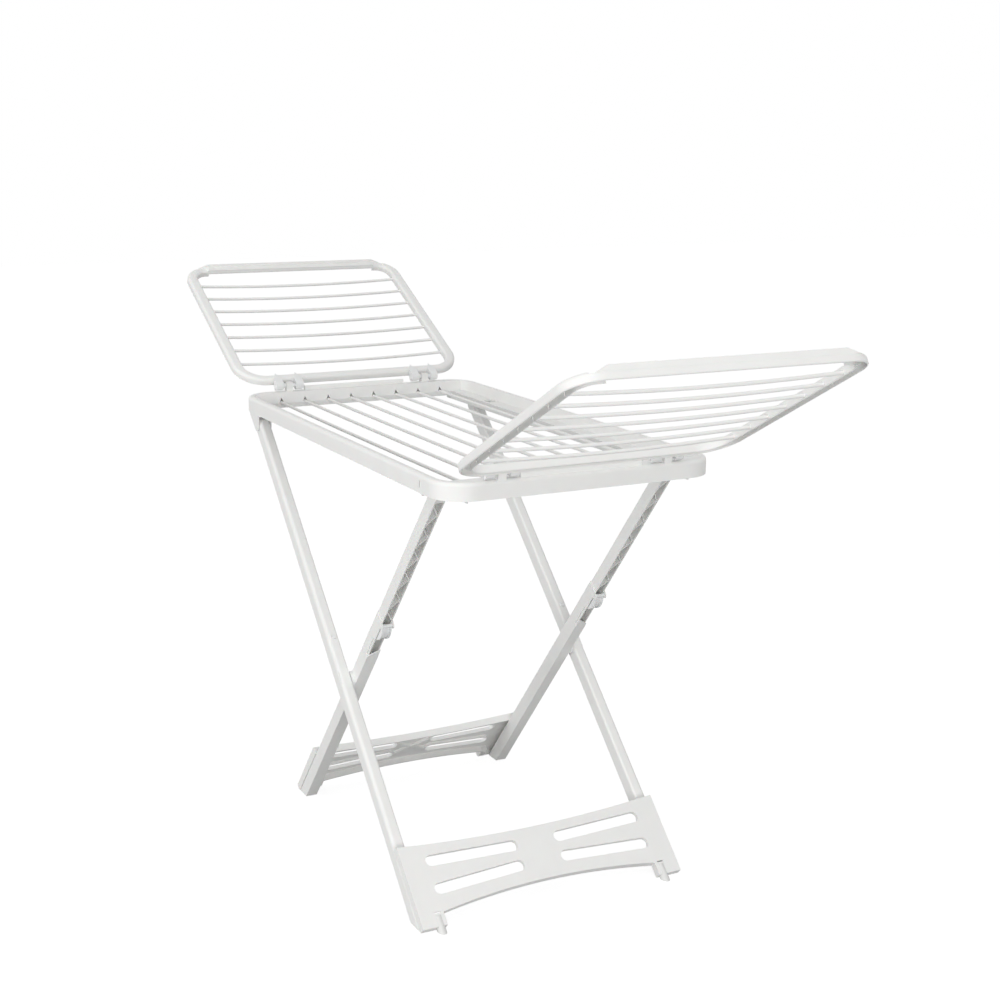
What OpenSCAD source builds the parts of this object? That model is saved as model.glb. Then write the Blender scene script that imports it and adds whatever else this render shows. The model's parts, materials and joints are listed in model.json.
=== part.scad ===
// Free-standing folding clothes airer with a rodded deck, two hinged wings,
// a pair of crossing leg frames and telescopic upper legs.
// Units are millimetres. X runs along the deck, Y across it and Z up.
// The origin lies on the floor under the middle of the deck.

/* [Deck] */
// Length of the deck
deck_length = 1108; // [980:4:1180]
// Width of the deck
deck_width = 576; // [510:2:640]
// Height of the deck's upper edge above the floor
deck_top = 895; // [800:1:960]
// Height of the deck's outer skirt
skirt_height = 34; // [30:1:50]
// Radius of the deck's corners, seen from above
deck_corner_r = 65; // [55:1:90]
// Width of the flat rim along each long side
rim_width = 14; // [11:0.5:18]
// Width of the flat rim at each end, which carries the wing hinges
end_rim = 34; // [30:1:42]
// Width that the rim and its sloping inner wall take together
slope_width = 23; // [20:0.5:28]
// Depth of the side ledge below the rim
ledge_drop = 23; // [18:0.5:26]
// Width of the ledge along each long side, rim included
ledge_width = 57; // [45:1:70]
// Depth of the lip that hangs from the inner edge of the ledge
lip_depth = 19; // [12:1:24]
// Radius of the rounded upper edge
rim_round = 8; // [5:0.5:10]
// Wall of the mouldings
wall = 2.5; // [2:0.1:3.5]

/* [Rods] */
// Diameter of the drying rods
rod_d = 7; // [5:0.1:8]
// Number of rods in the deck
deck_rods_n = 8; // [4:2:10]
// Spacing of the deck rods
deck_rod_pitch = 58; // [45:0.1:62]
// Depth of the deck rods below the upper edge
deck_rod_drop = 22; // [18:0.5:26]
// Number of rods in each wing
wing_rods_n = 7; // [4:1:8]
// Spacing of the wing rods
wing_rod_pitch = 56.5; // [44:0.1:58]
// Distance from a wing's hinge axis to its first rod
wing_rod_start = 99; // [80:1:112]

/* [Wings] */
// Angle at which the left wing rises above the level
wing_angle_left = 27.5; // [10:0.5:45]
// Angle at which the right wing rises above the level
wing_angle_right = 28; // [10:0.5:45]
// Distance from the hinge axis to the outer edge of the wing frame
wing_reach = 512; // [460:1:530]
// Height of the wing frame's section
wing_height = 18; // [15:1:24]
// Wall of the wing frame, which is open below
wing_wall = 3; // [2.5:0.1:4]
// Height of the wing frame's upper face above its hinge axis
wing_top = 8.5; // [6:0.5:10]
// Depth of the wing rods' axes below that face
wing_rod_drop = 12; // [12:0.1:14]
// Width of the side bars of the wing frame
wing_bar = 26.5; // [22:0.5:32]
// Width of the hinge bar of the wing frame
wing_hinge_bar = 20.4; // [18:0.2:28]
// Width of the far bar of the wing frame
wing_far_bar = 21; // [18:0.5:30]
// Outer corner radius next to the hinge
wing_near_r = 72; // [55:1:85]
// Outer corner radius at the far end
wing_far_r = 58; // [50:1:75]
// Length of the raised hanging bar along the far end
hang_bar_length = 448; // [320:2:456]
// Height of the hanging bar above the wing frame
hang_bar_rise = 6.5; // [4:0.5:9]
// Thickness of the hanging bar's upright lip
hang_bar_t = 3.5; // [2.5:0.1:5]
// Depth of the dip in the far bar on each side of the hanging bar
far_dip = 4; // [2:0.5:6]

/* [Wing hinges] */
// Inset of the hinge axis from the end of the deck
hinge_inset = 10; // [9:0.5:26]
// Height of the hinge axis above the deck's upper edge
hinge_rise = 12.5; // [12.5:0.1:16]
// Diameter of the hinge pins
hinge_pin_d = 10; // [8:0.5:12]
// Distance from the hinge axis to the wing frame
hinge_gap = 15.6; // [15:0.1:20]
// Distance from the mid-plane to the middle of a pair of clips
clip_pair_y = 173.5; // [120:0.5:200]
// Width of a clip
clip_w = 18; // [12:0.5:20]
// Radius of a clip round its pin
clip_r = 11; // [9:0.5:12]
// Width of the block between two clips
block_w = 16; // [10:0.5:20]
// Gap between a clip and the block
clip_gap = 7.5; // [3:0.5:10]
// Thickness of the rail between the clips
rail_t = 9; // [7:0.5:12]

/* [Legs] */
// Distance from the deck's end to the pivot of the outer legs
pivot_inset = 105.6; // [90:0.2:130]
// Depth of that pivot below the deck's upper edge
pivot_drop = 58; // [56:0.5:64]
// Distance from the middle of the deck to the feet of the outer legs
foot_a_x = 429; // [340:1:450]
// Distance from the middle of the deck to the feet of the inner legs
foot_b_x = 278; // [200:1:330]
// Distance from the deck's end to the top of the inner legs
top_b_inset = 113.4; // [100:0.2:140]
// Depth of the leg section, front to back
leg_depth = 32; // [28:1:36]
// Width of the outer legs
leg_a_w = 24.5; // [20:0.5:28]
// Width of the inner legs
leg_b_w = 25.7; // [22:0.1:28]
// How far each outer leg leans outward from its pivot to its foot
leg_splay = 7; // [6:0.5:20]
// Gap between the deck's ears and the outer legs
ear_gap = 0.7; // [0.5:0.1:1.5]
// Thickness of the spacers between the legs where they cross
spacer_t = 6.2; // [4.5:0.1:10]
// Diameter of those spacers
spacer_d = 36; // [28:1:44]
// Wall of the legs
leg_wall = 3; // [2.5:0.1:4]

/* [Telescope] */
// Height of the inner legs' mouths along the leg
mouth_s = 721; // [650:1:740]
// Length of the upper leg that stays inside at rest
upper_inside = 140; // [100:1:150]
// Gap between the two parts of a telescopic leg
slide_gap = 0.3; // [0.2:0.05:0.5]
// Wall of the telescopic sleeve
sleeve_wall = 2; // [1.6:0.1:2.4]
// Depth of the upper leg's section
upper_depth = 27; // [22:0.5:27.5]
// Pitch of the zigzag ribs
zigzag_pitch = 34; // [24:1:60]
// Thickness of a zigzag rib
rib = 2.2; // [1.6:0.1:3]

/* [Crosspieces] */
// Height of a crosspiece's upper edge at the legs, along the leg
panel_top = 153; // [130:1:180]
// Depth of the upper edge's curve
panel_sag = 14; // [6:1:20]
// Height of the lower arch at its middle, along the leg
panel_arch = 28; // [18:1:34]
// Height of the lower arch over its ends
arch_rise = 19; // [10:1:24]
// How far the crosspiece stands out from the legs
panel_depth = 17; // [12:0.5:20]
// Thickness of the crosspiece's face
panel_wall = 3; // [2.2:0.1:4]
// Depth of the rims round the slots, from the face
rim_depth = 9; // [4:0.5:14]
// Width of the crosspiece's slots
slot_w = 23; // [16:0.5:28]
// Height of the upper slots' inner ends along the leg
upper_slot_s = 108; // [98:0.5:112]
// Height of the lower slots' inner ends along the leg
lower_slot_s = 65; // [56:0.5:68]
// Distance from the mid-plane to a slot's inner end
slot_in = 42; // [30:1:60]
// Distance from a slot's outer end to the leg's inner face
slot_margin = 24.8; // [12:0.2:50]
// Distance from the lower arch's end to the leg's inner face
arch_margin = 27.8; // [26:0.2:50]

/* [Pins] */
// Diameter of the pivot pins
pin_d = 10; // [8:0.5:12]
// Diameter of the pins where the legs cross
cross_pin_d = 14; // [10:0.5:16]
// Radial clearance of a pin in its bore
pin_fit = 0.05; // [0.02:0.01:0.1]

/* [Hidden] */
$fn = 64;

big = 3000;
half_l = deck_length / 2;
half_w = deck_width / 2;
skirt_z = deck_top - skirt_height;
ledge_z = deck_top - ledge_drop;
rod_z = deck_top - deck_rod_drop;
inner_y = half_w - ledge_width;

hinge_x = half_l - hinge_inset;
hinge_z = deck_top + hinge_rise;
end_slope = end_rim + slope_width - rim_width;

pivot = [-half_l + pivot_inset, deck_top - pivot_drop];
foot_a = [foot_a_x, 0];
foot_b = [-foot_b_x, 0];
upper_r = upper_depth / 2;
seat_gap = 0.3;
top_b = [half_l - top_b_inset, ledge_z - wall - seat_gap - upper_r];

leg_a_angle = atan2(pivot[1], foot_a[0] - pivot[0]);
leg_b_angle = atan2(top_b[1], top_b[0] - foot_b[0]);
leg_a_length = norm(pivot - foot_a);
leg_b_length = norm(top_b - foot_b);
// Height at which the two centre lines cross, then the point itself
cross_z = (foot_a[0] - foot_b[0]) / (1 / tan(leg_a_angle) + 1 / tan(leg_b_angle));
cross = [foot_a[0] - cross_z / tan(leg_a_angle), cross_z];
cross_s = norm(cross - foot_b);
splay_angle = atan(leg_splay / leg_a_length);

half_leg = leg_depth / 2;
leg_a_outer = half_w - wall - ear_gap;
leg_a_inner = leg_a_outer - leg_a_w;
cross_a_s = norm(cross - foot_a);
// How far the outer legs have spread where the legs cross
cross_spread = leg_splay * (leg_a_length - cross_a_s) / leg_a_length;
// Gap that lets two faces turn on each other
turn_gap = 0.2;
leg_b_outer = leg_a_inner + cross_spread - spacer_t - 2 * turn_gap;
leg_b_inner = leg_b_outer - leg_b_w;
upper_outer = leg_b_outer - sleeve_wall - slide_gap;
upper_inner = leg_b_inner + sleeve_wall + slide_gap;
ear_r = 14;
ear_t = 3.3;
ear_in = leg_a_inner - 0.5;
// How far the outer and the inner ears run on from the pivot
ear_run_out = 47;
ear_run_in = 30;
// Bores that grip the rods and hold them all along
rod_bore = rod_d + 0.2;

// ---- general shapes ----

module mirror_y(side) { mirror([0, side < 0 ? 1 : 0, 0]) children(); }

module both_y() { for (side = [-1, 1]) mirror_y(side) children(); }

module cyl_y(d, y0, y1) { translate([0, y1, 0]) rotate([90, 0, 0]) cylinder(d = d, h = y1 - y0); }

// A rectangle with its own radius at each pair of corners, along X
module rounded_plate(x0, x1, half, r0, r1) {
    for (side = [-1, 1]) {
        translate([x0 + r0, side * (half - r0)]) circle(r0);
        translate([x1 - r1, side * (half - r1)]) circle(r1);
    }
    translate([x0 + r0, -half]) square([x1 - r1 - x0 - r0, 2 * half]);
    translate([x0, r0 - half]) square([r0 + 1, 2 * (half - r0)]);
    translate([x1 - r1 - 1, r1 - half]) square([r1 + 1, 2 * (half - r1)]);
}

// Sweeps a section round such a rectangle. The section's x is the distance
// inward from the outline and its y is the height.
module ring(x0, x1, half, r0, r1) {
    for (m = [0, 1]) mirror([0, m, 0]) {
        translate([x0 + r0, half, 0])
            rotate([90, 0, 90]) linear_extrude(x1 - r1 - x0 - r0) mirror([1, 0]) children();
        translate([x1 - r1, half - r1, 0])
            rotate_extrude(angle = 90) translate([r1, 0]) mirror([1, 0]) children();
        translate([x0 + r0, half - r0, 0]) rotate([0, 0, 90])
            rotate_extrude(angle = 90) translate([r0, 0]) mirror([1, 0]) children();
    }
    translate([x0, half - r0, 0])
        rotate([90, 0, 0]) linear_extrude(2 * (half - r0)) children();
    translate([x1, half - r1, 0])
        rotate([90, 0, 0]) linear_extrude(2 * (half - r1)) mirror([1, 0]) children();
}

// A slot with round ends between two points
module slot(p, q, w) {
    d = q - p;
    translate(p) rotate(atan2(d[1], d[0])) {
        circle(d = w);
        translate([norm(d), 0]) circle(d = w);
        translate([0, -w / 2]) square([norm(d), w]);
    }
}

// The point where the tangent from q meets a circle, on the side given by turn
function tangent_point(c, r, q, turn) =
    let (d = q - c, a = atan2(d[1], d[0]) + turn * acos(r / norm(d)))
    c + r * [cos(a), sin(a)];

// ---- deck ----

module rim_outline(inset) {
    run = slope_width - rim_width;
    shift = inset * norm([run, ledge_drop]) / ledge_drop;
    top = skirt_height - inset;
    translate([rim_round, skirt_height - rim_round]) circle(rim_round - inset);
    polygon([[inset, inset > 0 ? -1 : 0], [inset, skirt_height - rim_round],
        [rim_round, skirt_height - rim_round], [rim_round, top], [rim_width - shift, top],
        [slope_width - inset, skirt_height - ledge_drop], [slope_width - inset, inset > 0 ? -1 : 0]]);
}

module rim_section() {
    difference() {
        rim_outline(0);
        rim_outline(wall);
    }
}

module ear_outline(left_x) {
    q = [left_x, skirt_z];
    t = tangent_point(pivot, ear_r, q, 1);
    translate(pivot) circle(ear_r);
    polygon([t, [pivot[0] + ear_r, pivot[1]], [pivot[0] + ear_r, ledge_z - wall / 2],
        [left_x, ledge_z - wall / 2], q]);
}

// The wide rim at each end, with its sloping inner wall
module end_rims() {
    mid_rim = (rim_round + rim_width) / 2;
    shift = wall * norm([slope_width - rim_width, ledge_drop]) / ledge_drop;
    half = half_w - deck_corner_r + sqrt(pow(deck_corner_r - mid_rim, 2) - pow(deck_corner_r - end_rim, 2));
    for (m = [0, 1]) mirror([m, 0, 0]) {
        intersection() {
            translate([0, 0, deck_top - wall]) linear_extrude(wall)
                rounded_plate(mid_rim - half_l, half_l - mid_rim, half_w - mid_rim,
                    deck_corner_r - mid_rim, deck_corner_r - mid_rim);
            translate([half_l - end_rim, -half_w, 0]) cube([end_rim, deck_width, big]);
        }
        translate([half_l, half, skirt_z]) rotate([90, 0, 0]) linear_extrude(2 * half) mirror([1, 0])
            polygon([[end_rim, skirt_height], [end_slope, skirt_height - ledge_drop], [end_slope, 0],
                [end_slope - wall, 0], [end_slope - wall, skirt_height - ledge_drop],
                [end_rim - shift, skirt_height]]);
    }
}

module ears() {
    both_y() {
        translate([0, half_w, 0]) rotate([90, 0, 0]) linear_extrude(wall) ear_outline(pivot[0] - ear_run_out);
        translate([0, ear_in, 0]) rotate([90, 0, 0]) linear_extrude(ear_t) ear_outline(pivot[0] - ear_run_in);
    }
}

module side_ledges() {
    both_y() {
        intersection() {
            translate([0, 0, ledge_z - wall]) linear_extrude(wall)
                rounded_plate(wall / 2 + slope_width - half_l - wall, half_l - slope_width + wall / 2,
                    half_w - slope_width + wall / 2, deck_corner_r - slope_width, deck_corner_r - slope_width);
            translate([-big / 2, inner_y, 0]) cube([big, big, big]);
        }
        translate([-half_l + slope_width - wall / 2, inner_y, ledge_z - lip_depth])
            cube([deck_length - 2 * slope_width + wall, wall, lip_depth]);
    }
}

// A pocket sunk into each ledge beyond the outer legs' pivots, or with its wall
// left out the room inside it
module ledge_pocket(grow) {
    from_pivot = 95;
    size = [38, 20];
    both_y() translate([pivot[0] + from_pivot - grow, inner_y + 3 * wall - grow, ledge_z - lip_depth + wall - grow])
        cube([size[0] + 2 * grow, size[1] + 2 * grow, grow > 0 ? lip_depth - wall / 2 : lip_depth]);
}

// The slits in the skirt over the inner legs
module skirt_slits() {
    size = [3, 13];
    both_y() translate([top_b[0] + 8 - size[0] / 2, half_w - 2 * wall, skirt_z + 10]) cube([size[0], 3 * wall, size[1]]);
}

// The rib that stops the inner legs from spreading
module seat_ribs() {
    below = 4;
    both_y()
        translate([top_b[0] + upper_r + seat_gap, inner_y, skirt_z - below])
            cube([wall, half_w - inner_y - wall / 2, ledge_z - wall / 2 - skirt_z + below]);
}

function deck_rod_y(i) = (i - (deck_rods_n - 1) / 2) * deck_rod_pitch;

module rod_cuts() {
    notch = 1.6 * rod_d;
    for (i = [0 : deck_rods_n - 1]) translate([0, deck_rod_y(i), rod_z]) {
        rotate([0, 90, 0]) cylinder(d = rod_bore, h = deck_length - 2 * wall, center = true);
        for (m = [0, 1]) mirror([m, 0, 0])
            translate([half_l - end_slope - 1, 0, 0]) rotate([90, 0, 90])
                linear_extrude(slope_width - rim_width + 2 * wall)
                    polygon([[-notch / 2, 0], [notch / 2, 0], [0, notch]]);
    }
}

module deck_frame() {
    color("white") difference() {
        union() {
            translate([0, 0, skirt_z])
                ring(-half_l, half_l, half_w, deck_corner_r, deck_corner_r) rim_section();
            end_rims();
            side_ledges();
            ears();
            seat_ribs();
            ledge_pocket(wall);
            for (m = [0, 1]) mirror([m, 0, 0]) {
                hinge_blocks();
                hinge_rail();
            }
        }
        rod_cuts();
        ledge_pocket(0);
        skirt_slits();
        both_y() translate([pivot[0], 0, pivot[1]]) cyl_y(pin_d + 2 * pin_fit, ear_in - ear_t - 1, ear_in + 1);
        for (m = [0, 1]) mirror([m, 0, 0]) both_y() translate([hinge_x, 0, hinge_z])
            cyl_y(hinge_pin_d + 2 * pin_fit, clip_pair_y - block_w, clip_pair_y + block_w);
    }
}

module deck_rods() {
    color("white") for (i = [0 : deck_rods_n - 1])
        translate([0, deck_rod_y(i), rod_z])
            rotate([0, 90, 0]) cylinder(d = rod_d, h = deck_length - 2 * wall, center = true);
}

// ---- wing hinges ----

module hinge_blocks() {
    both_y() translate([hinge_x - block_w / 2, clip_pair_y - block_w / 2, deck_top - rim_round])
        cube([block_w, block_w, rim_round + hinge_rise + block_w / 2]);
}

// A round-topped rail on the rim, from y0 to y1
module rail(y0, y1) {
    rise = 9.5;
    translate([hinge_x, 0, deck_top + rise - rail_t / 2]) cyl_y(rail_t, y0, y1);
    translate([hinge_x - rail_t / 2, y0, deck_top - rim_round / 2])
        cube([rail_t, y1 - y0, rise + rim_round / 2 - rail_t / 2]);
}

pair_half = block_w / 2 + clip_gap + clip_w;

// The rail between the clips, which stops nearer to them on one side
module hinge_rail() {
    inner_end = clip_pair_y - pair_half;
    stops = [5, 22];
    rail(stops[0] - inner_end, inner_end - stops[1]);
}

module hinge_pins() {
    both_y() translate([hinge_x, 0, hinge_z])
        cyl_y(hinge_pin_d, clip_pair_y - pair_half, clip_pair_y + pair_half);
}

module hinge_pins_left() { color("white") mirror([1, 0, 0]) hinge_pins(); }

module hinge_pins_right() { color("white") hinge_pins(); }

// ---- wings ----

// Places a wing drawn flat, with X outward from its hinge axis
module wing_place(left) {
    mirror([left ? 1 : 0, 0, 0]) translate([hinge_x, 0, hinge_z])
        rotate([0, left ? -wing_angle_left : -wing_angle_right, 0]) children();
}

wing_low = wing_top - wing_height;
wing_round = 8;
wing_under = 3;
// Thickness of the frame above its hollow
wing_ceiling = 7;
wing_in_x = hinge_gap + wing_hinge_bar;
wing_in_y = half_w - wing_bar;
wing_in_r0 = wing_near_r - wing_bar;
wing_in_r1 = wing_far_r - wing_bar;
far_in = wing_reach - wing_far_bar;
dip_z = wing_top - far_dip;
hang_half = hang_bar_length / 2;
hang_ramp = 24;
far_bar_t = 10;

// The rounded edge of a wing's bars, rounded by r above, and a little of the
// flat behind it
module edge_section(r) {
    translate([r, wing_top - r]) circle(r);
    translate([wing_under, wing_low + wing_under]) circle(wing_under);
    translate([0, wing_low + wing_under]) square([r, wing_height - r - wing_under]);
    translate([wing_under, wing_low]) square([r - wing_under, wing_height - r]);
    translate([r, wing_low]) square([2, wing_height]);
}

// The band between the frame's outlines, drawn in by the given widths
module wing_band(from_outside, from_inside) {
    a = from_outside;
    b = from_inside;
    difference() {
        rounded_plate(hinge_gap + a, wing_reach - a, half_w - a, wing_near_r - a, wing_far_r - a);
        rounded_plate(wing_in_x - b, far_in + b, wing_in_y + b, wing_in_r0 + b, wing_in_r1 + b);
    }
}

module wing_frame_flat() {
    out = wing_round + 1;
    difference() {
        union() {
            ring(hinge_gap, wing_reach, half_w, wing_near_r, wing_far_r) edge_section(wing_round);
            ring(wing_in_x, far_in, wing_in_y, wing_in_r0, wing_in_r1) mirror([1, 0]) edge_section(out - 2);
            translate([0, 0, wing_low]) linear_extrude(wing_height) wing_band(out, out - 1);
        }
        translate([0, 0, wing_low - 1]) linear_extrude(wing_height - wing_ceiling + 1)
            wing_band(wing_wall, wing_wall);
    }
}

// The dip for the hanging bar, and the hollow under the far bar
module far_bar_cuts() {
    dip_half = hang_half + hang_ramp + 2 * far_dip;
    lip = 4;
    under = wing_height - far_bar_t;
    translate([far_in - 1, -dip_half, dip_z]) cube([wing_far_bar + 2, 2 * dip_half, wing_height]);
    translate([far_in - 1, -hang_half, wing_low - 1])
        cube([wing_far_bar - lip + 1, hang_bar_length, under + 1]);
}

function wing_rod_x(i) = wing_rod_start + i * wing_rod_pitch;
wing_rod_z = wing_top - wing_rod_drop;

module wing_rod_set(d) {
    for (i = [0 : wing_rods_n - 1]) translate([wing_rod_x(i), 0, wing_rod_z])
        cyl_y(d, wall - half_w, half_w - wall);
}

module wing_frame(left) {
    color("white") wing_place(left) difference() {
        wing_frame_flat();
        far_bar_cuts();
        wing_rod_set(rod_bore);
    }
}

module wing_frame_left() { wing_frame(true); }

module wing_frame_right() { wing_frame(false); }

module wing_rods_left() { color("white") wing_place(true) wing_rod_set(rod_d); }

module wing_rods_right() { color("white") wing_place(false) wing_rod_set(rod_d); }

// A plank of a trapezoid's shape that stands in the dip: x0 to x1 across it,
// up to z, with ends that slope over the given length
module dip_plank(x0, x1, z, slope) {
    translate([x0, 0, 0]) rotate([90, 0, 90]) linear_extrude(x1 - x0)
        polygon([[-hang_half - slope, dip_z], [hang_half + slope, dip_z], [hang_half, z], [-hang_half, z]]);
}

// The hanging bar: a plank that fills the dip and an upright lip behind it
module hang_bar(left) {
    back = wing_reach - 1;
    color("white") wing_place(left) {
        dip_plank(far_in + 1, back, wing_top, far_dip);
        dip_plank(back - hang_bar_t, back, wing_top + hang_bar_rise, hang_ramp);
    }
}

module hang_bar_left() { hang_bar(true); }

module hang_bar_right() { hang_bar(false); }

// A clip that grips the hinge pin, with a pointed tail over the hinge bar
module clip() {
    tail = 22;
    difference() {
        union() {
            cyl_y(2 * clip_r, -clip_w / 2, clip_w / 2);
            translate([0, -clip_w / 2, 0]) cube([hinge_gap, clip_w, wing_top + wall]);
            translate([hinge_gap - 1, 0, wing_top]) linear_extrude(wall)
                polygon([[0, -clip_w / 2], [tail, 0], [0, clip_w / 2]]);
        }
        cyl_y(hinge_pin_d + 2 * pin_fit, -clip_w, clip_w);
        rotate([0, -45, 0]) translate([-clip_r - 1, -clip_w, -hinge_pin_d * 0.4])
            cube([clip_r + 1, 2 * clip_w, hinge_pin_d * 0.8]);
    }
}

module hinge_clips(left) {
    offset_y = (block_w + clip_w) / 2 + clip_gap;
    color("white") wing_place(left) both_y()
        for (side = [-1, 1]) translate([0, clip_pair_y + side * offset_y, 0]) clip();
}

module hinge_clips_left() { hinge_clips(true); }

module hinge_clips_right() { hinge_clips(false); }

// ---- legs ----

// A leg frame: X is lateral, Y runs up the leg from the floor and Z is the
// normal of the frame's outer side
module frame_a() { translate([foot_a[0], 0, 0]) rotate([leg_a_angle, 0, 90]) children(); }

module frame_b() { translate([foot_b[0], 0, 0]) rotate([leg_b_angle, 0, -90]) children(); }

// Extrudes a section, lateral by normal, from s0 to s1 along the leg
module run(s0, s1) { translate([0, s1, 0]) rotate([90, 0, 0]) linear_extrude(s1 - s0) children(); }

// The cross-section of a leg, x0 to x1 lateral, with rounded front corners
module leg_section(x0, x1, r_in, r_out) {
    translate([x0 + r_in, half_leg - r_in]) circle(r_in);
    translate([x1 - r_out, half_leg - r_out]) circle(r_out);
    translate([x0, -half_leg]) square([x1 - x0, leg_depth - max(r_in, r_out)]);
    translate([x0, -half_leg]) square([(x1 - x0) / 2, leg_depth - r_in]);
    translate([x0 + r_in, -half_leg]) square([x1 - x0 - r_in - r_out, leg_depth]);
}

round_out = 8;
round_in = 5;
round_inner_leg = 3;
// Height above the floor at which the legs become hollow
core_start = 40;

module leg_a(side) {
    mirror_side = side < 0 ? 1 : 0;
    color("white") difference() {
        frame_a() mirror([mirror_side, 0, 0]) translate([0, leg_a_length, 0]) rotate(splay_angle)
            translate([0, -leg_a_length, 0]) {
                difference() {
                    run(-leg_depth, leg_a_length) leg_section(leg_a_inner, leg_a_outer, round_in, round_out);
                    run(core_start, leg_a_length - leg_depth)
                        translate([leg_a_inner + leg_wall, -half_leg - 1])
                            square([leg_a_w - 2 * leg_wall, leg_depth - leg_wall + 1]);
                }
                run(cross_a_s - cross_pin_d, cross_a_s + cross_pin_d)
                    translate([leg_a_inner + 1, -half_leg]) square([leg_a_w - 2, leg_depth - 2]);
                intersection() {
                    translate([0, leg_a_length, 0]) rotate([0, 90, 0]) rotate_extrude()
                        rotate(-90) mirror([1, 0]) intersection() {
                            leg_section(leg_a_inner, leg_a_outer, round_in, round_out);
                            square([half_w, half_leg]);
                        }
                    translate([0, leg_a_length, -half_leg]) cube([half_w, leg_depth, leg_depth]);
                }
            }
        below_floor();
        mirror_y(side) {
            translate([pivot[0], 0, pivot[1]])
                cyl_y(pin_d + 2 * pin_fit, ear_in - ear_t, half_w);
            translate([cross[0], 0, cross[1]])
                cyl_y(cross_pin_d + 2 * pin_fit, leg_b_outer, cross_pin_end);
        }
    }
}

cross_pin_end = leg_a_outer + cross_spread - leg_wall;
cross_pin_start = leg_b_inner + sleeve_wall;

module leg_a_near() { leg_a(-1); }

module leg_a_far() { leg_a(1); }

module deck_pins() {
    color("white") both_y() translate([pivot[0], 0, pivot[1]])
        cyl_y(pin_d, ear_in - ear_t, half_w - wall);
}

module cross_pins() {
    color("white") both_y() translate([cross[0], 0, cross[1]])
        cyl_y(cross_pin_d, cross_pin_start + turn_gap, cross_pin_end);
}

module cross_spacers() {
    color("white") both_y() translate([cross[0], 0, cross[1]]) difference() {
        cyl_y(spacer_d, leg_b_outer + turn_gap, leg_b_outer + turn_gap + spacer_t);
        cyl_y(cross_pin_d + 2 * pin_fit, leg_b_outer, leg_a_outer);
    }
}

// Round pegs on the front of the outer legs
module leg_pegs() {
    peg_s = 638;
    peg_d = 9;
    peg_t = 4;
    peg_y = leg_a_outer - leg_a_w / 2 + leg_splay * (leg_a_length - peg_s) / leg_a_length;
    color("white") frame_a() for (side = [-1, 1])
        translate([side * peg_y, peg_s, half_leg]) cylinder(d = peg_d, h = peg_t);
}

// ---- inner legs ----

// The window in front of the sleeve, the floor of the sleeve below it and the
// notches in its side walls
window_s = mouth_s - upper_inside + 17;
sleeve_floor = window_s - 82;
notch_top = window_s + 65;
notch_depth = 7;
tongue_low = 4;
tongue_high = 22;

// Ears on the sleeve's side walls that carry the latch
module latch_ears() {
    for (x = [leg_b_inner, leg_b_outer - sleeve_wall])
        translate([x, latch_s, latch_z]) rotate([0, 90, 0]) cylinder(r = latch_ear_r, h = sleeve_wall);
}

// The telescopic sleeve: a box section that is open in front above its window
module sleeve_hollow() {
    inside = leg_b_w - 2 * sleeve_wall;
    run(sleeve_floor, mouth_s + 1)
        translate([leg_b_inner + sleeve_wall, -half_leg + sleeve_wall])
            square([inside, leg_depth - 2 * sleeve_wall]);
    run(window_s, mouth_s + 1)
        translate([leg_b_inner + sleeve_wall, -half_leg - 1]) square([inside, 2 * sleeve_wall]);
    translate([leg_b_inner - 1, 0, 0]) rotate([90, 0, 90]) linear_extrude(leg_b_w + 2)
        slot([window_s + notch_depth, -half_leg], [notch_top - notch_depth, -half_leg], 2 * notch_depth);
}

// The slanting tongue at the foot of the window, which guides the fingers up
// to the latch and stays in front of the sliding upper leg
module window_tongue() {
    x0 = leg_b_inner + sleeve_wall / 2;
    x1 = leg_b_outer - sleeve_wall / 2;
    translate([0, 0, -half_leg]) linear_extrude(sleeve_wall)
        polygon([[x0, window_s - 1], [x1, window_s - 1], [x1, window_s + tongue_low], [x0, window_s + tongue_high]]);
}

module leg_b(side) {
    mirror_side = side > 0 ? 1 : 0;
    color("white") difference() {
        frame_b() mirror([mirror_side, 0, 0]) difference() {
            union() {
                difference() {
                    run(-leg_depth, mouth_s) leg_section(leg_b_inner, leg_b_outer, round_inner_leg, round_in);
                    sleeve_hollow();
                }
                window_tongue();
                latch_ears();
            }
            translate([0, latch_s, latch_z]) rotate([0, 90, 0])
                cylinder(d = latch_pin_d + 2 * pin_fit, h = half_w);
            run(core_start, cross_s - 2 * cross_pin_d)
                translate([leg_b_inner + leg_wall, -half_leg + leg_wall])
                    square([leg_b_w - 2 * leg_wall, leg_depth - 2 * leg_wall]);
        }
        below_floor();
        mirror_y(side) translate([cross[0], 0, cross[1]])
            cyl_y(cross_pin_d + 2 * pin_fit, cross_pin_start, leg_b_outer + 1);
    }
}

module leg_b_near() { leg_b(-1); }

module leg_b_far() { leg_b(1); }

upper_w = upper_outer - upper_inner;
upper_bottom = mouth_s - upper_inside;

// Zigzag ribs along the open side of the upper leg
module zigzag(s0, s1) {
    n = floor((s1 - s0) / zigzag_pitch);
    x0 = upper_inner + 1;
    x1 = upper_outer - 1;
    for (i = [0 : n - 1]) {
        a = [i % 2 == 0 ? x0 : x1, s0 + i * zigzag_pitch];
        b = [i % 2 == 0 ? x1 : x0, s0 + (i + 1) * zigzag_pitch];
        d = b - a;
        translate([a[0], a[1], leg_wall - upper_r]) rotate(atan2(d[1], d[0]))
            translate([0, -rib / 2, 0]) cube([norm(d), rib, upper_depth - 2 * leg_wall + 1]);
    }
}

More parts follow.
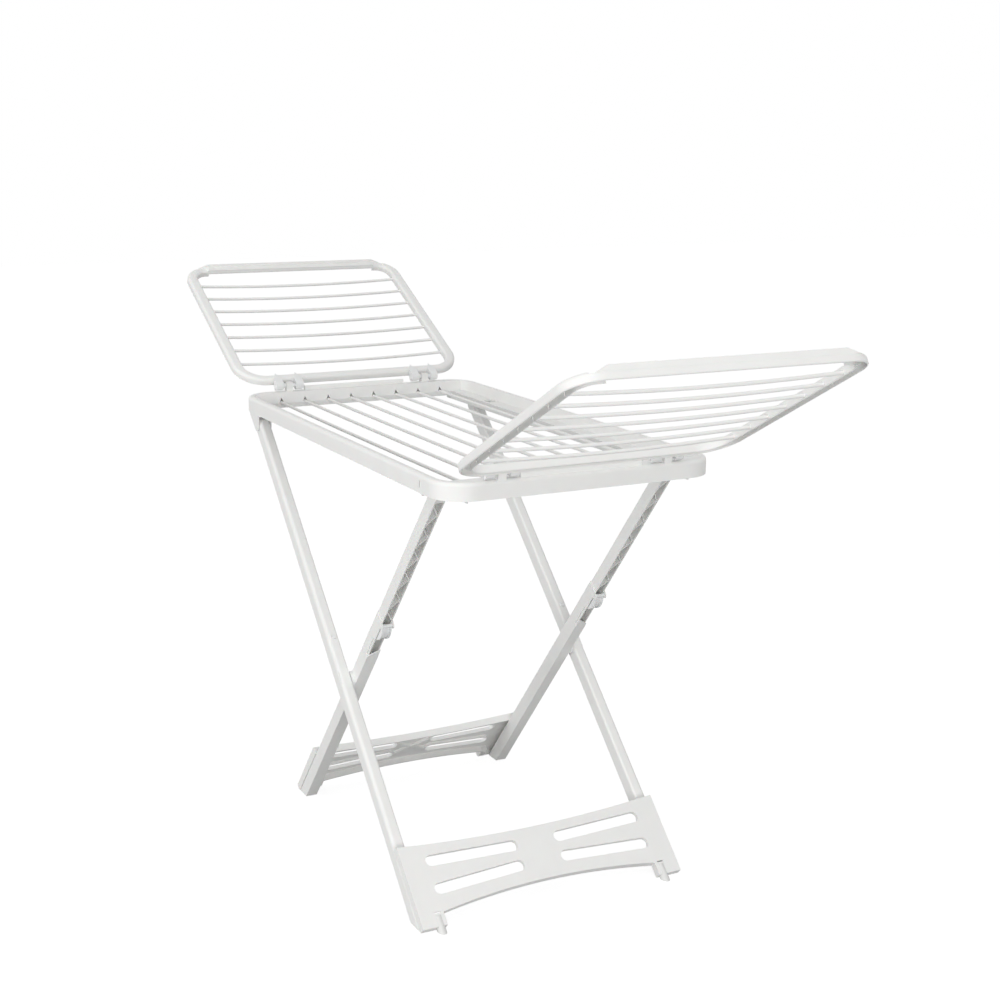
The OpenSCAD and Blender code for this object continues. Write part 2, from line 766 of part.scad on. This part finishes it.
module upper_leg(side) {
    mirror_side = side > 0 ? 1 : 0;
    floor_t = leg_wall;
    color("white") frame_b() mirror([mirror_side, 0, 0]) {
        difference() {
            run(upper_bottom, leg_b_length)
                translate([upper_inner, -upper_r]) square([upper_w, upper_depth]);
            run(upper_bottom + floor_t, leg_b_length - upper_r)
                translate([upper_inner + sleeve_wall, -upper_r - 1])
                    square([upper_w - 2 * sleeve_wall, upper_depth - floor_t + 1]);
        }
        translate([upper_inner, leg_b_length, 0]) rotate([0, 90, 0]) cylinder(r = upper_r, h = upper_w);
        zigzag(upper_bottom + upper_inside, leg_b_length - 1.5 * upper_r);
    }
}

module upper_leg_near() { upper_leg(-1); }

module upper_leg_far() { upper_leg(1); }

// ---- latches ----

latch_s = mouth_s - 8;
latch_z = -half_leg - 2;
latch_r = 4;
latch_ear_r = 7;
latch_w = leg_b_w - 2 * sleeve_wall - 1;
latch_pin_d = 4;
latch_bow_r = 33.5;
latch_bow = [-24, 24];

// The side of a latch: a knuckle at the pin and a bowed finger lever below it
module latch_side(inset) {
    circle(latch_r);
    intersection() {
        translate(latch_bow) circle(latch_bow_r - inset);
        translate([2 * latch_bow[0], -latch_bow_r]) square([-2 * latch_bow[0], latch_bow_r + 1]);
    }
}

module latch(side) {
    mirror_side = side > 0 ? 1 : 0;
    mid = (leg_b_inner + leg_b_outer) / 2;
    edge = 3;
    color("white") frame_b() mirror([mirror_side, 0, 0])
        translate([mid - latch_w / 2, latch_s, latch_z]) rotate([90, 0, 90]) difference() {
            union() {
                linear_extrude(edge) latch_side(0);
                translate([0, 0, latch_w - edge]) linear_extrude(edge) latch_side(0);
                translate([0, 0, edge - 1]) linear_extrude(latch_w - 2 * edge + 2) latch_side(3);
            }
            translate([0, 0, -1]) cylinder(d = latch_pin_d + 2 * pin_fit, h = latch_w + 2);
        }
}

module latch_near() { latch(-1); }

module latch_far() { latch(1); }

module latch_pins() {
    color("white") for (side = [-1, 1]) frame_b() translate([0, latch_s, latch_z])
        rotate([0, side * 90, 0]) translate([0, 0, leg_b_inner])
            cylinder(d = latch_pin_d, h = leg_b_w);
}

// ---- crosspieces ----

upper_slot_fan = 5.5;
lower_slot_fan = 10;

// The outline of a crosspiece: half its width, half its arch and its foot line
module panel_outline(half, arch_half) {
    top_r = (half * half + panel_sag * panel_sag) / (2 * panel_sag);
    arch_r = (arch_half * arch_half + arch_rise * arch_rise) / (2 * arch_rise);
    difference() {
        translate([-half, foot_s]) square([2 * half, panel_top - foot_s + 1]);
        translate([0, panel_top - panel_sag + top_r]) circle(top_r, $fn = 360);
        intersection() {
            translate([0, panel_arch - arch_r]) circle(arch_r, $fn = 360);
            translate([-arch_half, foot_s - 1]) square([2 * arch_half, panel_arch - foot_s + 2]);
        }
    }
}

// The four slots, which fan out from the middle
module panel_slots(inner, grow) {
    x0 = slot_in + slot_w / 2;
    x1 = inner - slot_margin - slot_w / 2;
    for (side = [0, 1]) mirror([side, 0]) {
        slot([x0, upper_slot_s], [x1, upper_slot_s + upper_slot_fan], slot_w + 2 * grow);
        slot([x0, lower_slot_s], [x1, lower_slot_s - lower_slot_fan], slot_w + 2 * grow);
    }
}

// The crossed ribs behind the middle of the face
module cross_ribs() {
    for (side = [0, 1]) mirror([side, 0])
        slot([slot_in, upper_slot_s], [-slot_in, lower_slot_s], 2 * rib);
}

// A crosspiece: a face with a skirt round its edge, rims round the slots,
// crossed ribs between them and a pocket for the foot at each lower corner
module crosspiece(half, inner) {
    t = panel_wall;
    arch_half = inner - arch_margin;
    difference() {
        translate([0, 0, half_leg]) difference() {
            union() {
                difference() {
                    linear_extrude(panel_depth) panel_outline(half, arch_half);
                    translate([0, 0, -1]) linear_extrude(panel_depth - t + 1) intersection() {
                        translate([0, t]) panel_outline(half - t, arch_half + t);
                        translate([0, -t]) panel_outline(half - t, arch_half + t);
                    }
                }
                translate([0, 0, panel_depth - rim_depth]) linear_extrude(rim_depth - t / 2) {
                    panel_slots(inner, t);
                    cross_ribs();
                }
            }
            translate([0, 0, -1]) linear_extrude(panel_depth + 2) panel_slots(inner, 0);
        }
        glide_posts(inner, glide_r + glide_fit, glide_top + seat_gap);
        glide_slots(inner);
    }
}

foot_s = -18;
glide_length = 76;
glide_r = 9;
glide_proud = 1.5;
glide_z = half_leg + panel_depth + glide_proud - glide_r;
glide_top = 4;
glide_inset = 14.8;
glide_fit = 0.2;
glide_slot = [14, 3];

// A rounded foot in each lower corner of a crosspiece, as a post along the leg
module glide_posts(inner, r, top) {
    for (side = [-1, 1]) translate([side * (inner - glide_inset), top, glide_z])
        rotate([90, 0, 0]) cylinder(r = r, h = top + glide_length);
}

// The narrow slot above each foot
module glide_slots(inner) {
    for (side = [-1, 1])
        translate([side * (inner - glide_inset) - glide_slot[0] / 2, glide_top + glide_slot[1] + 1, half_leg - 1])
            cube([glide_slot[0], glide_slot[1], panel_depth + 2]);
}

module below_floor() { translate([-big / 2, -big / 2, -big]) cube([big, big, big]); }

leg_a_foot_inner = leg_a_inner + leg_splay;

module crosspiece_a() {
    color("white") difference() {
        frame_a() crosspiece(leg_a_foot_inner + leg_a_w, leg_a_foot_inner);
        below_floor();
    }
}

module crosspiece_b() {
    color("white") difference() {
        frame_b() crosspiece(leg_b_outer, leg_b_inner);
        below_floor();
    }
}

module glides_a() {
    color("white") difference() {
        frame_a() glide_posts(leg_a_foot_inner, glide_r, glide_top);
        below_floor();
    }
}

module glides_b() {
    color("white") difference() {
        frame_b() glide_posts(leg_b_inner, glide_r, glide_top);
        below_floor();
    }
}

deck_frame();
deck_rods();
hinge_pins_left();
hinge_pins_right();
wing_frame_left();
wing_frame_right();
wing_rods_left();
wing_rods_right();
hang_bar_left();
hang_bar_right();
hinge_clips_left();
hinge_clips_right();
leg_a_near();
leg_a_far();
crosspiece_a();
glides_a();
leg_pegs();
deck_pins();
cross_pins();
cross_spacers();
leg_b_near();
leg_b_far();
crosspiece_b();
glides_b();
upper_leg_near();
upper_leg_far();
latch_near();
latch_far();
latch_pins();
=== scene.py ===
# %% [markdown]
# # A folding clothes airer, dressed for its portrait
# The airer was built first as an exact CAD model: a deck of rods on crossing moulded legs,
# with a hinged wing at each end. Here it is loaded as a fixed frame, and this notebook gives
# it finishes, rods that hang as real ones do, a studio and a camera. Nothing that was loaded
# is moved.

# %% Load the frame
import json
import math

import bmesh
import bpy
from mathutils import Matrix, Vector


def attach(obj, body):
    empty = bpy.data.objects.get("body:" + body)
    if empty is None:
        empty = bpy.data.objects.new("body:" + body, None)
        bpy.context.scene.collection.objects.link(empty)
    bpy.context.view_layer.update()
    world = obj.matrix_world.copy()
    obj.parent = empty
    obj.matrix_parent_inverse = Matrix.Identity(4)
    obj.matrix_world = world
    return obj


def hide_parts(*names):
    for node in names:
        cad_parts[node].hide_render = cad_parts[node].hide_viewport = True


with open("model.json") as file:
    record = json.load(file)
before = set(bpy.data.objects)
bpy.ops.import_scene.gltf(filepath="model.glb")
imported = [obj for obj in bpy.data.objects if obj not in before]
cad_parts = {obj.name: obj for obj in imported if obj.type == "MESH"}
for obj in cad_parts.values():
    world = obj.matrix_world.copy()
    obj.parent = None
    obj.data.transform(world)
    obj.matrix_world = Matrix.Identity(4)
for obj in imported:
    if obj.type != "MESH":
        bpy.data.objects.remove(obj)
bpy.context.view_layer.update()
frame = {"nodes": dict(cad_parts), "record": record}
nodes = frame["nodes"]

MM = 0.001

# %% [markdown]
# ## The camera
# The camera is placed where a person would stand: at chest height, to the right of the near
# side, looking down a little along the deck. Its heading, tilt and roll are turned into three
# directions, and the camera's matrix is built from them. That is easier to reason about than
# Euler angles, because a camera looks along its own negative Z.

# %% Camera


def camera_matrix(place, heading, tilt, roll):
    """The world matrix of a camera. The heading turns left from +Y, and the tilt is downward."""
    h, t, r = math.radians(heading), math.radians(tilt), math.radians(roll)
    forward = Vector((-math.sin(h) * math.cos(t), math.cos(h) * math.cos(t), -math.sin(t)))
    level = Vector((math.cos(h), math.sin(h), 0))
    upright = level.cross(forward)
    right = math.cos(r) * level + math.sin(r) * upright
    up = -math.sin(r) * level + math.cos(r) * upright
    turn = Matrix((right, up, -forward)).transposed().to_4x4()
    return Matrix.Translation(place) @ turn


SENSOR_WIDTH = 36  # in millimetres, as Blender's camera settings are
FOCAL_LENGTH = 58.535
STANDPOINT = (3.0463, -1.4623, 1.5037)
HEADING, TILT, ROLL = 62.76, 12.95, 0.36  # in degrees

camera_data = bpy.data.cameras.new("portrait_camera")
camera_data.sensor_width = SENSOR_WIDTH
camera_data.lens = FOCAL_LENGTH
camera = bpy.data.objects.new("portrait_camera", camera_data)
bpy.context.scene.collection.objects.link(camera)
camera.matrix_world = camera_matrix(STANDPOINT, HEADING, TILT, ROLL)
bpy.context.scene.camera = camera
print("camera at", [round(v, 3) for v in camera.location])

# %% [markdown]
# ## White moulded plastic
# Airers of this kind are injection moulded in white polypropylene. It is a soft, waxy plastic:
# its gloss is satin, and light enters it a little before it comes out again. A mould also
# leaves a very fine grain, and thick places sink a few hundredths of a millimetre as they cool.
# A Principled shader gives the satin gloss and a little subsurface scattering. Two noises in
# Object coordinates do the rest: a grain of about a millimetre, drawn coarser than the real one
# so that it shows, and a broad one of 45 mm for a faint unevenness of tone and for the sink
# marks, which are drawn a little deeper than real ones.

# %% Colour and node helpers


def linear(hex_colour):
    """An sRGB hex colour as the linear RGBA that a shader wants."""
    values = [int(hex_colour[i : i + 2], 16) / 255 for i in (1, 3, 5)]
    straight = [v / 12.92 if v <= 0.04045 else ((v + 0.055) / 1.055) ** 2.4 for v in values]
    return (*straight, 1.0)


def add(tree, kind, settings=None, links=None):
    """Adds a node. Settings and links are keyed by a socket's name or number, or an attribute."""
    node = tree.nodes.new(kind)
    for key, value in (settings or {}).items():
        if isinstance(key, int) or key in node.inputs:
            node.inputs[key].default_value = value
        else:
            setattr(node, key, value)
    for key, source in (links or {}).items():
        tree.links.new(source, node.inputs[key])
    return node


def new_material(name):
    """An empty node material, its tree and its output node."""
    material = bpy.data.materials.new(name)
    material.use_nodes = True
    material.node_tree.nodes.clear()
    output = material.node_tree.nodes.new("ShaderNodeOutputMaterial")
    return material, material.node_tree, output


print("white is", linear("#FFFFFF"))

# %% Plastics

PLASTIC_IOR = 1.49  # polypropylene and acetal both lie within 0.02 of it
LIGHT_REACH = 2 * MM  # how far light wanders inside the plastic
SINK_WIDTH, SINK_DEPTH, SINK_SHARE = 45 * MM, 0.25 * MM, 0.5
GRAIN_DEPTH = 0.05 * MM
GLOSS_SPREAD = 0.05  # how much the grain varies the roughness, up and down


def moulded_plastic(name, light, dark, roughness, grain_mm, relief, glow):
    """A white plastic with a fine mould grain. The glow is its subsurface weight."""
    material, tree, output = new_material(name)
    place = add(tree, "ShaderNodeTexCoord").outputs["Object"]
    grain = add(tree, "ShaderNodeTexNoise", {"Scale": 1 / (grain_mm * MM), "Detail": 3.0},
                {"Vector": place})
    cloud = add(tree, "ShaderNodeTexNoise", {"Scale": 1 / SINK_WIDTH, "Detail": 2.0},
                {"Vector": place})
    tone = add(tree, "ShaderNodeMix", {"data_type": "RGBA", 6: linear(dark), 7: linear(light)},
               {0: cloud.outputs["Fac"]})
    gloss = add(tree, "ShaderNodeMapRange",
                {"To Min": roughness - GLOSS_SPREAD, "To Max": roughness + GLOSS_SPREAD},
                {"Value": grain.outputs["Fac"]})
    sink = add(tree, "ShaderNodeBump", {"Strength": SINK_SHARE, "Distance": SINK_DEPTH},
               {"Height": cloud.outputs["Fac"]})
    bump = add(tree, "ShaderNodeBump", {"Strength": relief, "Distance": GRAIN_DEPTH},
               {"Height": grain.outputs["Fac"], "Normal": sink.outputs["Normal"]})
    shader = add(tree, "ShaderNodeBsdfPrincipled",
                 {"IOR": PLASTIC_IOR, "Subsurface Weight": glow, "Subsurface Scale": LIGHT_REACH},
                 {"Base Color": tone.outputs[2], "Roughness": gloss.outputs["Result"],
                  "Normal": bump.outputs["Normal"]})
    tree.links.new(shader.outputs["BSDF"], output.inputs["Surface"])
    return material


# Polypropylene, injection moulded in a lightly grained mould: a soft satin white.
satin_polypropylene = moulded_plastic("polypropylene_satin_moulded", "#F6F6F4", "#F1F1EF",
                                      roughness=0.42, grain_mm=0.9, relief=0.25, glow=0.06)
# The same resin drawn over the rods: smoother, with a slight sheen along each rod.
smooth_polypropylene = moulded_plastic("polypropylene_smooth_rod", "#F7F7F5", "#F3F3F1",
                                       roughness=0.32, grain_mm=1.6, relief=0.1, glow=0.06)
# Acetal, the slippery resin of clips, pins and levers: a harder and slightly cooler white.
acetal_pin = moulded_plastic("acetal_polished_pin", "#F2F3F3", "#EDEEEE",
                             roughness=0.3, grain_mm=1.2, relief=0.1, glow=0.03)
# A soft elastomer for the feet: matt, and a shade greyer.
soft_foot = moulded_plastic("elastomer_matt_foot", "#ECECEA", "#E4E4E2",
                            roughness=0.62, grain_mm=0.7, relief=0.4, glow=0.0)

# %% Dress the loaded nodes

FINISH = {
    "white_moulding": satin_polypropylene,
    "white_rod": smooth_polypropylene,
    "white_pin": acetal_pin,
    "white_clip": acetal_pin,
    "white_glide": soft_foot,
}

for part in frame["record"]["subparts"]:
    mesh_object = nodes[part["node"]]
    mesh_object.data.materials.clear()
    mesh_object.data.materials.append(FINISH[part["material_slot"]])
print("finishes:", sorted({m.name for m in FINISH.values()}))

# %% [markdown]
# ## Coated rods that sag
# The rods are thin steel wires in a plastic coat, held only at their ends. On the wings they
# hang a few millimetres in the middle, which a straight cylinder cannot show. Each CAD rod is
# read as a centre line. Geometry Nodes then samples the line, lowers it along a parabola and
# sweeps a circle along it. One tree serves the deck and both wings, and the CAD rods stay
# behind for the physics.

# %% Centre lines of the rods


def loose_parts(mesh):
    """The points of each separate shell of a mesh, as lists of places, in the mesh's order."""
    shell = bmesh.new()
    shell.from_mesh(mesh)
    bmesh.ops.remove_doubles(shell, verts=shell.verts, dist=0.001 * MM)
    waiting, parts = set(shell.verts), []
    # A set has no fixed order, so each shell is started from its first point in the mesh. That
    # way the rods come out in the same order each run.
    for first in shell.verts:
        if first not in waiting:
            continue
        waiting.remove(first)
        edge_of_part, part = [first], []
        while edge_of_part:
            point = edge_of_part.pop()
            part.append(point.co.copy())
            near = {edge.other_vert(point) for edge in point.link_edges} & waiting
            waiting -= near
            edge_of_part.extend(near)
        parts.append(part)
    shell.free()
    return parts


def centre_line(part):
    """The two ends of a rod's axis, and its diameter."""
    low = Vector(min(p[k] for p in part) for k in range(3))
    high = Vector(max(p[k] for p in part) for k in range(3))
    spread = high - low
    long_way = max(range(3), key=lambda k: spread[k])
    start, end = (low + high) / 2, (low + high) / 2
    start[long_way], end[long_way] = low[long_way], high[long_way]
    return start, end, min(spread)


def shortened(line, trim):
    """The same line with a little taken off each end."""
    start, end = line
    step = (end - start).normalized() * trim
    return start + step, end - step


for name in ("deck_rods", "wing_rods_left", "wing_rods_right"):
    print(name, "holds", len(loose_parts(nodes[name].data)), "rods")

# %% A node tree for sagging rods

STEPS_ALONG, STEPS_ROUND = 25, 20  # enough for a smooth curve and a round rod


def sagging_rods():
    """A node tree that hangs a coated rod along each line it is given."""
    tree = bpy.data.node_groups.new("sagging_rods", "GeometryNodeTree")
    sockets = tree.interface
    sockets.new_socket("Centre Lines", in_out="INPUT", socket_type="NodeSocketGeometry")
    sockets.new_socket("Diameter", in_out="INPUT", socket_type="NodeSocketFloat")
    sockets.new_socket("Sag", in_out="INPUT", socket_type="NodeSocketFloat")
    sockets.new_socket("Finish", in_out="INPUT", socket_type="NodeSocketMaterial")
    sockets.new_socket("Rods", in_out="OUTPUT", socket_type="NodeSocketGeometry")
    given = add(tree, "NodeGroupInput").outputs
    line = add(tree, "GeometryNodeMeshToCurve", None, {"Mesh": given["Centre Lines"]})
    samples = add(tree, "GeometryNodeResampleCurve", {"Count": STEPS_ALONG},
                  {"Curve": line.outputs["Curve"]})
    # Four times f (1 - f) is a parabola: nothing at the ends, and 1 in the middle.
    share = add(tree, "GeometryNodeSplineParameter").outputs["Factor"]
    rest = add(tree, "ShaderNodeMath", {"operation": "SUBTRACT", 0: 1.0}, {1: share})
    bow = add(tree, "ShaderNodeMath", {"operation": "MULTIPLY"}, {0: share, 1: rest.outputs[0]})
    depth = add(tree, "ShaderNodeMath", {"operation": "MULTIPLY", 1: -4.0}, {0: given["Sag"]})
    drop = add(tree, "ShaderNodeMath", {"operation": "MULTIPLY"},
               {0: bow.outputs[0], 1: depth.outputs[0]})
    offset = add(tree, "ShaderNodeCombineXYZ", None, {"Z": drop.outputs[0]})
    hung = add(tree, "GeometryNodeSetPosition", None,
               {"Geometry": samples.outputs["Curve"], "Offset": offset.outputs["Vector"]})
    radius = add(tree, "ShaderNodeMath", {"operation": "MULTIPLY", 1: 0.5}, {0: given["Diameter"]})
    circle = add(tree, "GeometryNodeCurvePrimitiveCircle", {"Resolution": STEPS_ROUND},
                 {"Radius": radius.outputs[0]})
    swept = add(tree, "GeometryNodeCurveToMesh", {"Fill Caps": True},
                {"Curve": hung.outputs["Geometry"], "Profile Curve": circle.outputs["Curve"]})
    real = add(tree, "GeometryNodeRealizeInstances", None, {"Geometry": swept.outputs["Mesh"]})
    coated = add(tree, "GeometryNodeSetMaterial", None,
                 {"Geometry": real.outputs["Geometry"], "Material": given["Finish"]})
    add(tree, "NodeGroupOutput", None, {"Rods": coated.outputs["Geometry"]})
    return tree


def socket_id(tree, name):
    """The identifier of a tree's input, which is what a modifier knows it by."""
    return next(item.identifier for item in tree.interface.items_tree
                if item.name == name and item.in_out == "INPUT")


rod_tree = sagging_rods()
print("rod tree:", len(rod_tree.nodes), "nodes")

# %% Hang the rods


def grown(name, lines, tree, values):
    """A plain mesh object from edges and a node tree. Its modifier is gone when it is returned."""
    mesh = bpy.data.meshes.new(name + "_lines")
    places = [place for line in lines for place in line]
    mesh.from_pydata(places, [(2 * k, 2 * k + 1) for k in range(len(lines))], [])
    seed = bpy.data.objects.new(name + "_lines", mesh)
    bpy.context.scene.collection.objects.link(seed)
    modifier = seed.modifiers.new("grow", "NODES")
    modifier.node_group = tree
    for key, value in values.items():
        modifier[socket_id(tree, key)] = value
    ready = seed.evaluated_get(bpy.context.evaluated_depsgraph_get())
    piece = bpy.data.objects.new(name, bpy.data.meshes.new_from_object(ready))
    bpy.data.objects.remove(seed)
    bpy.context.scene.collection.objects.link(piece)
    piece.data.shade_smooth()
    return piece


DECK_SAG, WING_SAG = 1.5 * MM, 6 * MM
# A wing's frame is hollow below, so its rods end in the inner wall and leave the hollow clear.
WING_TRIM = 22.5 * MM

for node_name, body, sag, trim in (("deck_rods", "deck", DECK_SAG, 0),
                                   ("wing_rods_left", "wing_left", WING_SAG, WING_TRIM),
                                   ("wing_rods_right", "wing_right", WING_SAG, WING_TRIM)):
    axes = [centre_line(part) for part in loose_parts(nodes[node_name].data)]
    diameter = axes[0][2]
    rods = grown("coated_" + node_name, [shortened(axis[:2], trim) for axis in axes], rod_tree,
                 {"Diameter": diameter, "Sag": sag, "Finish": smooth_polypropylene})
    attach(rods, body)
    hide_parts(node_name)
    print(rods.name, len(axes), "rods,", len(rods.data.polygons), "faces,",
          "diameter", round(diameter, 4))

# %% [markdown]
# ## The studio
# White on white is the hard case in a studio: the object must be seen by its shading alone.
# A broad lamp faces the wing end, a second one faces the near side, and a weak one hangs above.
# The world fills the rest softly. Rays from the camera meet pure white, so the backdrop has no
# edge. The floor is a matt sheet that adds a white glow for such rays only, so that it looks
# white and still keeps a trace of shadow. Seen from the far side, each lamp would glint along
# the rails and burn them out, so gloss meets the white room and never a lamp.

# %% Floor

FLOOR_SIZE = 30
FLOOR_DROP = 0.5 * MM  # keeps the sheet clear of the feet's flat undersides
FLOOR_GLOW = 0.88  # with the lamps' own light on the sheet, this comes to white


def plane(name, size):
    """A square sheet at floor level."""
    mesh = bpy.data.meshes.new(name)
    half = size / 2
    corners = [(-half, -half, 0), (half, -half, 0), (half, half, 0), (-half, half, 0)]
    mesh.from_pydata(corners, [], [(0, 1, 2, 3)])
    sheet = bpy.data.objects.new(name, mesh)
    bpy.context.scene.collection.objects.link(sheet)
    return sheet


def seen_directly(tree):
    """1 for rays from the camera, or seen in a gloss or through glass, else 0."""
    rays = add(tree, "ShaderNodeLightPath").outputs
    first = add(tree, "ShaderNodeMath", {"operation": "MAXIMUM"},
                {0: rays["Is Camera Ray"], 1: rays["Is Glossy Ray"]})
    both = add(tree, "ShaderNodeMath", {"operation": "MAXIMUM"},
               {0: first.outputs[0], 1: rays["Is Transmission Ray"]})
    return both.outputs[0]


floor = plane("studio_floor", FLOOR_SIZE)
floor.location.z = -FLOOR_DROP
paper, tree, output = new_material("paper_matt_white")
matt = add(tree, "ShaderNodeBsdfDiffuse", {"Color": linear("#8C8C8C")})
share = add(tree, "ShaderNodeMath", {"operation": "MULTIPLY", 1: FLOOR_GLOW},
            {0: seen_directly(tree)})
glow = add(tree, "ShaderNodeEmission", {"Color": linear("#FFFFFF")}, {"Strength": share.outputs[0]})
lit = add(tree, "ShaderNodeAddShader", None, {0: matt.outputs[0], 1: glow.outputs[0]})
tree.links.new(lit.outputs[0], output.inputs["Surface"])
floor.data.materials.append(paper)
print("floor:", FLOOR_SIZE, "m square, in", paper.name)

# %% World

FILL_STRENGTH, BACKDROP_STRENGTH = 0.5, 1.0

world = bpy.data.worlds.new("studio_world")
bpy.context.scene.world = world
world.use_nodes = True
sky = world.node_tree
sky.nodes.clear()
white = linear("#FFFFFF")
fill = add(sky, "ShaderNodeBackground", {"Color": white, "Strength": FILL_STRENGTH})
backdrop = add(sky, "ShaderNodeBackground", {"Color": white, "Strength": BACKDROP_STRENGTH})
pick = add(sky, "ShaderNodeMixShader", None,
           {0: seen_directly(sky), 1: fill.outputs[0], 2: backdrop.outputs[0]})
add(sky, "ShaderNodeOutputWorld", None, {"Surface": pick.outputs[0]})
print("world: fill", FILL_STRENGTH, "and backdrop", BACKDROP_STRENGTH)

# %% Lamps

MIDDLE = (0, 0, 0.6)  # about the middle of the airer
LAMP_SIZE = 2.6  # broader than the airer is long, for soft shadows


def soft_lamp(name, place, watts):
    """A broad square lamp that faces the airer's middle, and that gloss doesn't see."""
    data = bpy.data.lights.new(name, "AREA")
    data.shape = "SQUARE"
    data.size = LAMP_SIZE
    data.energy = watts
    lamp = bpy.data.objects.new(name, data)
    aim = Vector(MIDDLE) - Vector(place)
    lamp.rotation_euler = aim.to_track_quat("-Z", "Y").to_euler()
    lamp.location = place
    lamp.visible_glossy = False
    bpy.context.scene.collection.objects.link(lamp)
    print(name, "at", place, "with", watts, "W")


soft_lamp("front_lamp", (5.2, -1.5, 0.9), 134)
soft_lamp("side_lamp", (0.6, -5.0, 1.3), 86)
soft_lamp("top_lamp", (0.2, -0.3, 4.2), 18)

bpy.context.scene.view_settings.view_transform = "Standard"
